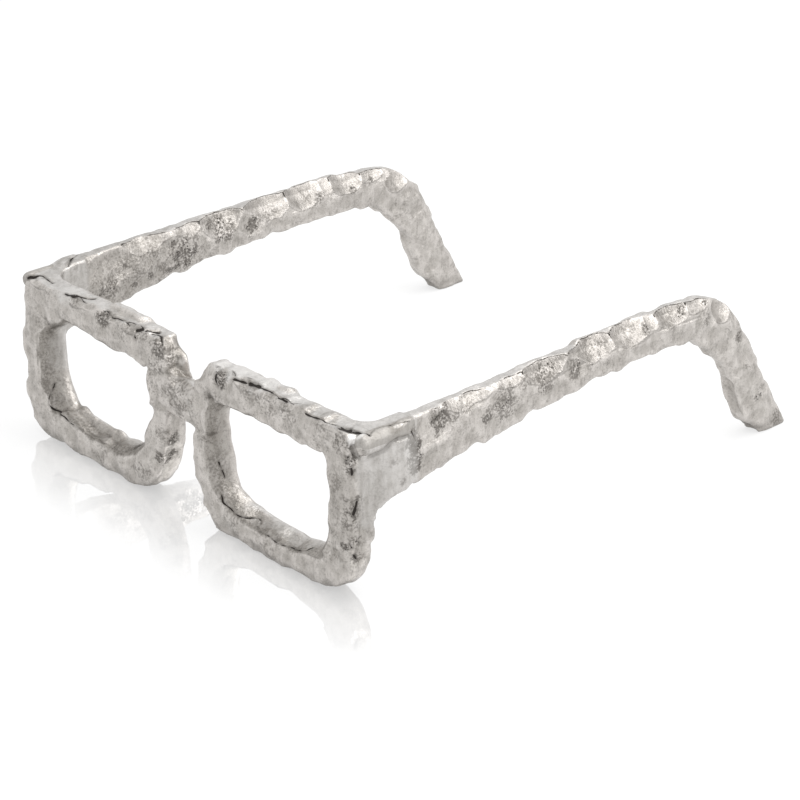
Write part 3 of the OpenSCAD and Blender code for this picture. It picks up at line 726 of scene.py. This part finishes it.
# Small dents all over, fainter on the flat tops and on the filed metal
def roughen(piece, settings):
    before = vertexTable(piece)
    normal = vertexTable(piece, "normal")
    dent(piece, "VORONOI", settings["dentSize"], settings["dentDepth"])
    dent(piece, "CLOUDS", settings["lumpSize"], settings["lumpHeight"])
    place = before / mm
    top = fade(normal[:, 2], 0.8, 0.97) * fade(place[:, 2], 70, 76)
    share = (1 - settings["calmer"] * top) * (1 - settings["calmer"] * dressedShare(place))
    foot = fade(place[:, 2], 0.3, 3)
    placeVertices(piece, before + (vertexTable(piece) - before) * (share * foot)[:, None])


edgeCracksAndShadows = facetEdges(whole)
swell(whole)
evenWalls(whole, evening)
roughen(whole, hammering)

# Cracks and creases, and a painted shadow under the weld bead: view, width, depth, darkness, points. The top
# view holds places across and behind the front, the front view places across and heights, the side view distances
# behind the front and heights
cracks = [
    ("top", 1.0, 0.4, 1.0, [(-115.5, 3), (-112.7, 6.6), (-110.3, 8.4), (-105.8, 7.7), (-102, 7.6)]),
    ("top", 1.0, 0.3, 1.0, [(-86.7, 3.4), (-80.8, 3.2), (-76.7, 4.8), (-70.3, 8.3)]),
    ("top", 0.7, 0.3, 0.9, [(-56, 4), (-50, 2.8), (-44, 3.4), (-37, 2.6)]),
    ("top", 2.4, 0.6, 1.0, [(-32, 2.6), (-29.5, 3.2)]),
    ("front", 1.4, 0.4, 0.95, [(-31.5, 77.5), (-31, 75.5)]),
    ("top", 1.1, 0.4, 1.0, [(-26.5, 3.9), (-24.4, 6), (-22.6, 7.8)]),
    ("top", 0.7, 0.3, 1.0, [(-23.1, 4.5), (-21.1, 6.2), (-18.5, 6), (-15.5, 4), (-14.2, 3)]),
    ("top", 0.6, 0.3, 0.95, [(-21.8, 2), (-20.8, 3.8)]),
    ("top", 1.0, 0.4, 0.95, [(-110.2, 22.4), (-114.9, 28.1), (-117.6, 32.4)]),
    ("top", 0.9, 0.4, 1.0, [(38, 1), (42.5, 2.6), (46, 3.4)]),
    ("top", 1.6, 0.5, 1.0, [(46, 3.4), (52.6, 3.4)]),
    ("top", 1.0, 0.4, 0.95, [(52.6, 3.4), (60, 3.6)]),
    ("top", 0.7, 0.3, 0.85, [(60, 3.6), (67.6, 2.6), (70.8, 2.7), (77.1, 5.2)]),
    ("top", 1.2, 0.4, 0.95, [(66, 2.5), (71, 2.9)]),
    ("top", 0.7, 0.3, 0.95, [(83.5, 2.5), (90, 3), (96, 2.8), (99.9, 4.9), (104.6, 5.1), (108.7, 6.5), (113.7, 6.6),
                             (118.5, 7.5)]),
    ("top", 2.2, 0.5, 1.0, [(104.5, 4), (108, 5.4)]),
    ("top", 1.1, 0.4, 1.0, [(108, 5.4), (113.7, 6.8)]),
    ("top", 0.6, 0.3, 0.9, [(118.5, 7.5), (115.7, 13), (116.4, 17.9), (117.2, 22.8), (118.7, 28.8), (119.2, 32)]),
    ("front", 0.7, 0.3, 1.0, [(-100.6, 28), (-100.5, 23), (-100, 19), (-96.2, 16.7), (-89.2, 16), (-81.5, 14.1)]),
    ("front", 1.0, 0.3, 0.8, [(-81.5, 14.1), (-76.1, 14), (-68.3, 14.7), (-60.8, 12.8), (-54.7, 12)]),
    ("front", 0.5, 0.2, 0.6, [(-54.7, 12), (-48.6, 12.6), (-41, 15), (-34.6, 20)]),
    ("front", 0.6, 0.2, 0.95, [(21.4, 31.3), (24, 24.9), (25.2, 20.4), (28.5, 15.7), (36, 13), (46.3, 12), (51.7, 11),
                               (59.8, 11), (67.9, 10.4), (76.6, 11), (83.3, 13.1), (91.9, 20.3)]),
    ("front", 0.8, 0.3, 0.5, [(-12, 58.5), (-5.3, 60), (2.4, 60.9), (7.5, 63.5)]),
    ("front", 2.2, 0.4, 0.7, [(19.5, 64.5), (21.5, 67), (23.5, 64.5)]),
    ("front", 1.2, 0.5, 0.9, [(26, 77), (28, 72)]),
    # Painted shadow under the weld bead, along a shallow groove
    ("side", 1.8, 0.5, 0.7, [(2.8, 72.9), (4.2, 69.5), (6.5, 67.3), (11.6, 67.2), (16.3, 69.3), (18.7, 71.6),
                             (21.9, 72.2), (28, 71.7)]),
    ("side", 0.6, 0.2, 0.65, [(107.8, 69.4), (117.4, 72.4), (135.7, 73.2), (142.6, 72.8), (155, 74.4), (167.2, 71.9),
                              (177.4, 75), (207.2, 74.1)]),
    ("side", 1.5, 0.3, 1.0, [(1.8, 63.5), (2.2, 60.5)]),
    ("side", 1.2, 0.3, 0.95, [(3.7, 47.8), (2.2, 42)]),
    ("side", 1.0, 0.3, 0.9, [(0.4, 28.5), (1.5, 26.5)]),
    ("side", 1.0, 0.3, 0.9, [(3, 22.3), (5, 19.5)]),
]
crackBroken = (-0.9, -0.6)          # the wander's level where a crack stops, and where it is whole
# Stained patches: across, behind the front, height, radius, strength
stains = [
    (-109, 70, 70, 60, 0.35), (107.2, 6.2, 77.5, 2.6, 1.3), (-112, 25, 78.5, 4, 1.3), (-109.4, 60, 60, 3, 1.3),
    (-108.6, 68.7, 62.4, 3, 1.3), (-109, 81, 61.4, 3, 1.3), (-109.3, 90.5, 63, 3, 1.3), (-109.5, 55, 71, 3, 1.1),
    (-12, 6, 72, 7, 0.8), (-15.5, 3, 77, 3.5, 1.3), (119.5, 31, 66, 6, 1.5), (119.5, 32, 58, 6, 1.4),
    (119.5, 31, 71, 4, 1.4), (-11.5, 5, 30.6, 4, 1.3), (-14.6, 6, 21, 5, 1.2), (-15.4, 0.4, 22, 4, 1.1),
    (-38, 5, 16.5, 4, 1.3), (30, 0, 75, 4, 1.4), (21.6, 0, 65.3, 2, 1.5), (56, 0, 75, 5, 0.7), (72, 0, 76, 6, 0.7),
    (118, 146.5, 77.5, 4.5, 1.1), (118.3, 171.5, 78.5, 4.2, 1.1), (118, 197, 78.5, 4, 1.1),
    (118, 212, 78.8, 2.5, 1.2), (118, 113, 76.5, 5, 1.0), (-109.4, 176, 73.5, 4, 1.0), (-109, 199, 73, 4, 1.0),
    (-109.6, 211, 75, 3.5, 0.9), (115, 1, 63, 4, 1.4), (117, 4, 49, 3, 1.4), (115, 2, 41, 3, 1.4),
    (111, 0, 27, 3, 1.3), (117, 4, 24, 3, 1.4), (-54, 0, 78, 6, 0.9), (-15, 0, 74, 5, 1.1), (-2, 0, 75, 4, 0.8),
    (-24, 0, 12, 4, 0.7), (119, 84, 69, 10, 0.9), (118, 73, 68, 6, 0.6), (118.5, 49, 72.5, 8, 1.3),
    (119, 73, 66, 4, 1.1), (118, 62, 75, 6, 0.6), (117, 109, 74, 10, 0.9), (119, 128, 72, 6, 1.0),
    (115, 140, 76, 9, 0.6), (114, 163, 77, 7, 0.4), (114, 190, 77, 6, 0.5), (119, 98, 76, 5, 0.7),
    (119, 150, 66, 10, 0.3), (118, 211, 72, 5, 0.9), (118, 235, 55, 4, 1.0), (118, 242, 39, 4, 0.9),
    (118, 251, 22, 5, 0.8), (118, 264, 5, 5, 0.8), (118, 230, 64, 8, 0.3), (119, 20.7, 62, 2.2, 0.9),
    (119, 25, 52, 2.4, 1.0), (118, 9.5, 55, 3, 0.8), (119, 22, 72.5, 1.6, 1.2), (-109, 43, 62, 9, 0.9),
    (-109, 57, 66, 10, 0.7), (-109, 90, 68, 11, 1.2), (-110, 114, 74, 10, 1.0), (-109, 133, 71, 7, 1.1),
    (-109, 80, 63, 10, 0.7), (-109, 70, 72, 8, 0.7), (-111, 145, 74, 7, 0.6), (-111, 168, 75, 7, 0.5),
    (-109, 105, 62, 8, 0.4), (-112, 230, 55, 8, 0.3), (29, 0, 77, 5, 1.2), (24, 0, 66, 7, 0.6), (47, 0, 77, 9, 0.5),
    (62, 0, 73, 8, 0.5), (74, 0, 74, 8, 0.5), (95, 0, 73, 9, 0.5), (108, 0, 74, 7, 0.8), (113, 2, 66, 5, 1.0),
    (113, 3, 45, 6, 1.0), (113, 2, 37, 5, 0.8), (113, 3, 29, 4, 1.0), (114, 4, 21, 4, 1.0), (104, 0, 55, 9, 0.5),
    (104, 0, 25, 9, 0.4), (60, 0, 6, 8, 0.4), (35, 0, 8, 7, 0.5), (15, 0, 45, 8, 0.5), (-14, 0, 77, 7, 1.1),
    (-27, 0, 78, 5, 1.1), (-40, 0, 76, 7, 0.5), (-54, 1, 78, 6, 1.2), (-78, 0, 79, 6, 0.8), (-16, 0, 67, 7, 0.8),
    (-18, 0, 56, 7, 0.6), (-30, 0, 10, 7, 0.7), (-60, 0, 8, 8, 0.4), (-100, 0, 60, 8, 0.4), (-95, 0, 76, 7, 0.4),
    (0, 0, 56, 14, 0.65), (-14, 0, 34, 8, 0.4),
]
# Painted highlights, spots painted bright: across, behind the front, height, radius, strength
highlightSpots = [
    (112.6, 3.2, 76.6, 3.4, 1), (115, 4.6, 78.6, 3.6, 1), (119.4, 28, 64, 3, 0.3), (119.4, 30, 58, 3, 0.3),
    (24, 6, 78.5, 6, 0.6), (-86, 6, 79.5, 9, 0.4), (36, 9, 79.5, 9, 0.6), (52, 9, 79.5, 9, 0.6),
    (72, 9, 79.5, 8, 0.4),
]
# Painted shade: places darkened where the lamps would catch them: across, behind the front, height, radius, strength
shadedSpots = [
    (-13.6, 6.9, 77.3, 6, 0.9), (-12, 12, 73, 7, 0.9), (-10, 6, 64, 7, 0.9), (63.8, 10.9, 79.4, 4, 0.4),
    (82.6, 6, 79.1, 5, 0.6), (94.1, 7, 79.1, 5, 0.6), (-88, 13, 17, 6, 0.9), (106, 3, 78, 2.5, 0.5),
    (119, 22, 78.7, 5, 0.8), (-109, 50, 66, 45, 0.4), (116, 1, 40, 30, 0.35),
]


# How near each vertex is to a line of points drawn in a flat view, measured along the surface
def distanceToLine(flat, lean, points):
    nearest = np.full(len(flat), 1e3)
    for a, b in zip(points[:-1], points[1:]):
        a, b = np.array(a, float), np.array(b, float)
        along = np.clip((flat - a) @ (b - a) / ((b - a) @ (b - a)), 0, 1)
        offset = flat - a - along[:, None] * (b - a)
        length = np.linalg.norm(offset, axis=1)
        steep = (offset * lean).sum(1) / np.maximum(length, 1e-6)
        nearest = np.minimum(nearest, length / np.sqrt(np.maximum(1 - steep * steep, 0.04)))
    return nearest


# Each flat view marks only what faces it: the top above a height, the front face down to a depth behind it, and the
# near temple and end piece past a place across
viewLimits = {"top": 68, "front": 8, "side": 105}


def views(place, normal):
    y = place[:, 1] - front
    flat = np.stack([place[:, 0], y, place[:, 2]], 1)
    return {
        "top": (flat[:, :2], normal[:, :2], (normal[:, 2] > 0.1) & (place[:, 2] > viewLimits["top"])),
        "front": (flat[:, ::2], normal[:, ::2], (normal[:, 1] < -0.15) & (y < viewLimits["front"])),
        "side": (flat[:, 1:], normal[:, 1:], (normal[:, 0] > 0.2) & (place[:, 0] > viewLimits["side"])),
    }


# Painted shade darkens the lens openings' walls, more on the left, and fades out towards a lip at the back
openingShadeLevels = {
    "left": (1.0, 0.9),             # how dark the painted shade is on the upright walls and on the bottom
    "right": (0.85, 0.8),
}
openingLip = (3.5, 12)              # behind the front, where the painted wall shade begins to fade and where it is gone
wallShadeGrain = 0.5                     # how much dark mottled grain a fully shaded wall gets


def openingShade(place, normal):
    share = np.zeros(len(place))
    lip = fade(place[:, 1] - front, *openingLip)
    for side, (upright, bottom) in openingShadeLevels.items():
        level = upright + (bottom - upright) * fade(abs(normal[:, 2]), 0.4, 0.8)
        share = np.maximum(share, facingOpening(place, normal, side) * level * (1 - lip))
    return share


def markSurface(piece, settings):
    place, normal = vertexTable(piece) / mm, vertexTable(piece, "normal")
    edges = edgeTable(piece)
    soft = place
    for turn in range(settings["reliefReach"]):
        soft = soft * 0.5 + neighbourMean(soft, edges) * 0.5
    relief = ((place - soft) * normal).sum(1)
    crackAndShadowLine = np.zeros(len(place))
    flat = views(place, normal)
    for turn, (view, width, depth, shade, points) in enumerate(cracks):
        spots, lean, allowed = flat[view]
        away = distanceToLine(spots, lean, points) + wander(place, 5, turn) * 0.3
        strength = fade(wander(place, 11, turn * 3), *crackBroken) * allowed
        crackAndShadowLine = np.maximum(crackAndShadowLine, np.clip(1 - away / (width * 2), 0, 1) * strength * shade)
        groove = (1 - fade(away, width * 0.3, width * 0.5 + 0.6)) * strength
        place -= normal * (groove * depth)[:, None]
    # The blows' edge cracks and painted shadow lines are sunk a little and darkened
    place -= normal * (fade(edgeCracksAndShadows, 0.6, 0.9) * edgeLines["depth"])[:, None]
    crackAndShadowLine = np.maximum(crackAndShadowLine, edgeCracksAndShadows)
    place = np.clip(place, *(np.array(corner) / mm for corner in cadBox))
    placeVertices(piece, place * mm)
    # Painted highlights at the listed spots
    highlightAndGloss = patches(place, highlightSpots)
    stain = np.zeros(len(place))
    for turn, (x, y, z, radius, strength) in enumerate(stains):
        away = np.linalg.norm(place - np.array([x, front + y, z]), axis=1) + wander(place, 7, turn) * radius * 0.35
        stain = np.maximum(stain, strength * (1 - fade(away, radius * 0.35, radius * 1.15)))
    # Painted shade on the openings' walls and on the listed spots
    paintedShade = np.maximum(openingShade(place, normal), patches(place, shadedSpots))
    marks = (relief, np.maximum(stain, paintedShade * wallShadeGrain), dressedShare(place) * filing["strength"], crackAndShadowLine, paintedShade, highlightAndGloss)
    for name, values in zip(("known", *markNames), (np.ones(len(place)), *marks)):
        writeAttribute(piece, name, values)
    print("surface marked: relief", relief.min().round(2), relief.max().round(2))


markSurface(whole, hammering)


# Cutting shapes along the seams, from the places of the nodes
def cuttingBox(low, high):
    deselectAll()
    middle = [(a + b) / 2 for a, b in zip(low, high)]
    bpy.ops.mesh.primitive_cube_add(size=1, location=middle)
    box = bpy.context.object
    box.scale = [b - a for a, b in zip(low, high)]
    bpy.ops.object.transform_apply(location=True, rotation=True, scale=True)
    return box


def joinBoxes(first, second):
    cutWith(first, second, "UNION")
    bpy.data.objects.remove(second)
    return first


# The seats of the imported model, in mm
seats = {
    "lap": 5.5,                     # the bridge's half laps, behind the front face
    "shoulder": 11.6,               # half the bridge's length between its shoulders
    "letIn": 7.0,                   # the end pieces, into the rims' outer sides
    "back": 12.3,                   # the rims' back seats, behind the front face
    "rimOut": {"left": 117.25, "right": 114.25},
    "bridgeBack": -110,             # the cut round the bridge reaches back to here, clear of its back
    "beadSkin": 0.35,               # how far a bead's seam stands off its node
    "beadVoxel": 0.4,
    "far": 200,                     # clear of the object on every side
}


# A closed cutting shape for each piece: what lies in it belongs to the piece
def seams():
    far = seats["far"] * mm
    faceY = front * mm
    shapes = {}
    for side in ("left", "right"):
        bead = copyOfNode("weld_bead_" + side, "beadSeam")
        remesh(bead, seats["beadVoxel"])
        grow(bead, seats["beadSkin"])
        shapes["weld_bead_" + side] = bead
    low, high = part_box("bridge")
    shapes["bridge"] = joinBoxes(
        cuttingBox((low.x, -far, low.z), (high.x, faceY + seats["lap"] * mm, high.z)),
        cuttingBox((-seats["shoulder"] * mm, -far, low.z), (seats["shoulder"] * mm, seats["bridgeBack"] * mm, high.z)))
    for side, sign in (("left", -1), ("right", 1)):
        low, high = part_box("end_piece_" + side)
        letIn = (seats["rimOut"][side] - seats["letIn"]) * mm
        flange = min(abs(low.x), abs(high.x))
        spans = [sorted((sign * inner, sign * far)) for inner in (letIn, flange)]
        shapes["end_piece_" + side] = joinBoxes(
            cuttingBox((spans[0][0], low.y, low.z), (spans[0][1], high.y, far)),
            cuttingBox((spans[1][0], faceY + seats["back"] * mm, low.z), (spans[1][1], high.y, far)))
        span = sorted((0, sign * far))
        shapes["temple_" + side] = cuttingBox((span[0], high.y, -far), (span[1], far, far))
        shapes["rim_" + side] = cuttingBox((span[0], -far, -far), (span[1], high.y, far))
    return shapes


# New points on a seam take their marks from the points beside them
def mendMarks(piece):
    edges = edgeTable(piece)
    names = ("known", *markNames)
    table = np.empty((len(piece.data.vertices), len(names)), np.float32)
    for column, name in enumerate(names):
        values = np.empty(len(table), np.float32)
        piece.data.attributes[name].data.foreach_get("value", values)
        table[:, column] = values
    table = table.astype(np.float64)
    unknown = table[:, 0] < 0.999
    table[unknown] = 0
    for turn in range(hammering["mendReach"]):
        mean = neighbourMean(table, edges)
        reached = unknown & (mean[:, 0] > 0)
        table[reached] = mean[reached] / mean[reached][:, :1]
        unknown &= ~reached
    for column, name in enumerate(names):
        writeAttribute(piece, name, table[:, column])


def finishPiece(piece, node, material):
    piece.data.validate(clean_customdata=False)
    pick(piece)
    bpy.ops.object.shade_smooth_by_angle(angle=math.radians(hammering["smoothAngle"]))
    setMaterial(piece, material)
    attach(piece, "root")
    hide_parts(node)
    print(node, "finished:", len(piece.data.polygons), "faces")


# Pieces that aren't of the rough casting's metal
metals = {"end_piece": filedMetal, "weld_bead": weldMetal}


# Parts the casting into its pieces; each takes what earlier ones have left
def partCasting(whole):
    for name, shape in seams().items():
        pick(whole)
        bpy.ops.object.duplicate()
        piece = bpy.context.object
        piece.name = name + "Cast"
        cutWith(piece, shape, "INTERSECT")
        cutWith(whole, shape)
        mendMarks(piece)
        metal = metals.get(name.rsplit("_", 1)[0], roughCast)
        finishPiece(piece, name, metal)
        bpy.data.objects.remove(shape)
    bpy.data.objects.remove(whole)


partCasting(whole)
for node in ("bridge_dowels", "corner_dowels_left", "corner_dowels_right", "temple_dowel_left", "temple_dowel_right"):
    setMaterial(nodes[node], drawnRod)

# A pale table top, white to the camera, that keeps a faint reflection of the front and a faint shadow
table = {
    "size": 8.0,
    "white": 0.93,
    "shadow": 0.3,
    "gloss": 0.34,
    "blur": 0.004,
    "shineFrom": -0.139,            # the reflection is full here and dies away towards the viewer
    "shineTo": -0.19,
    "shineEnd": 0.165,              # it ends this far to the right and to the left
    "shineFade": 0.03,
    "shineBack": (-0.125, -0.1),    # it dies away again between these places under the object
}


# One where the camera sees a surface, straight or in a reflection, and nought for light that it scatters
def seenDirectly(tree):
    path = addNode(tree, "ShaderNodeLightPath")
    return larger(tree, path.outputs["Is Camera Ray"],
                  larger(tree, path.outputs["Is Glossy Ray"], path.outputs["Is Transmission Ray"]))


def makeTable(settings):
    deselectAll()
    bpy.ops.mesh.primitive_plane_add(size=settings["size"], location=(0, 0, -0.0002))
    top = bpy.context.object
    top.name = "table"
    bpy.ops.object.transform_apply(location=True, rotation=True, scale=True)
    material, tree = newMaterial("paleTable")
    seen = seenDirectly(tree)
    matt = addNode(tree, "ShaderNodeBsdfDiffuse", Color=(settings["white"],) * 3 + (1,))
    white = addNode(tree, "ShaderNodeEmission", Color=(1, 1, 1, 1), Strength=1.0)
    mix = addNode(tree, "ShaderNodeMixShader")
    tree.links.new(times(tree, seen, 1 - settings["shadow"]), mix.inputs[0])
    tree.links.new(matt.outputs[0], mix.inputs[1])
    tree.links.new(white.outputs[0], mix.inputs[2])
    place = addNode(tree, "ShaderNodeSeparateXYZ")
    tree.links.new(addNode(tree, "ShaderNodeTexCoord").outputs["Object"], place.inputs[0])
    near = ramp(tree, place.outputs[1], settings["shineTo"], settings["shineFrom"], 0, settings["gloss"])
    aside = mathNode(tree, "ABSOLUTE", place.outputs[0])
    inside = times(tree, ramp(tree, place.outputs[1], *settings["shineBack"], 1, 0),
                   ramp(tree, aside, settings["shineEnd"] - settings["shineFade"], settings["shineEnd"], 1, 0))
    gloss = addNode(tree, "ShaderNodeBsdfGlossy", Color=(1, 1, 1, 1), Roughness=settings["blur"])
    highlightAndGloss = addNode(tree, "ShaderNodeMixShader")
    tree.links.new(times(tree, near, inside), highlightAndGloss.inputs[0])
    tree.links.new(mix.outputs[0], highlightAndGloss.inputs[1])
    tree.links.new(gloss.outputs[0], highlightAndGloss.inputs[2])
    output = addNode(tree, "ShaderNodeOutputMaterial")
    tree.links.new(highlightAndGloss.outputs[0], output.inputs[0])
    setMaterial(top, material)


makeTable(table)
print("table made")


# Soft studio light: a wide lamp overhead and a smaller one behind on the right
lamps = {
    "overhead": {"place": (0.2, 0.3, 1.2), "aim": (0, 0, 0.05), "size": 1.0, "power": 8},
    "rightBack": {"place": (1.1, 0.5, 0.7), "aim": (0, 0, 0.04), "size": 0.7, "power": 5},
}


def addLamp(name, settings):
    aim = Vector(settings["aim"]) - Vector(settings["place"])
    bpy.ops.object.light_add(type="AREA", location=settings["place"], rotation=aim.to_track_quat("-Z", "Y").to_euler())
    lamp = bpy.context.object
    lamp.name = name + "Lamp"
    lamp.data.energy = settings["power"]
    lamp.data.size = settings["size"]


for name, settings in lamps.items():
    addLamp(name, settings)


skyLevel = 0.97


def makeSky(level):
    world = bpy.data.worlds.new("studio")
    bpy.context.scene.world = world
    world.use_nodes = True
    tree = world.node_tree
    tree.nodes.clear()
    strength = ramp(tree, seenDirectly(tree), 0, 1, level, 1.0)
    sky = addNode(tree, "ShaderNodeBackground", Color=(1, 1, 1, 1))
    tree.links.new(strength, sky.inputs["Strength"])
    output = addNode(tree, "ShaderNodeOutputWorld")
    tree.links.new(sky.outputs[0], output.inputs[0])


makeSky(skyLevel)
bpy.context.scene.view_settings.view_transform = "Standard"
print("light set")

deselectAll()
bpy.context.view_layer.update()
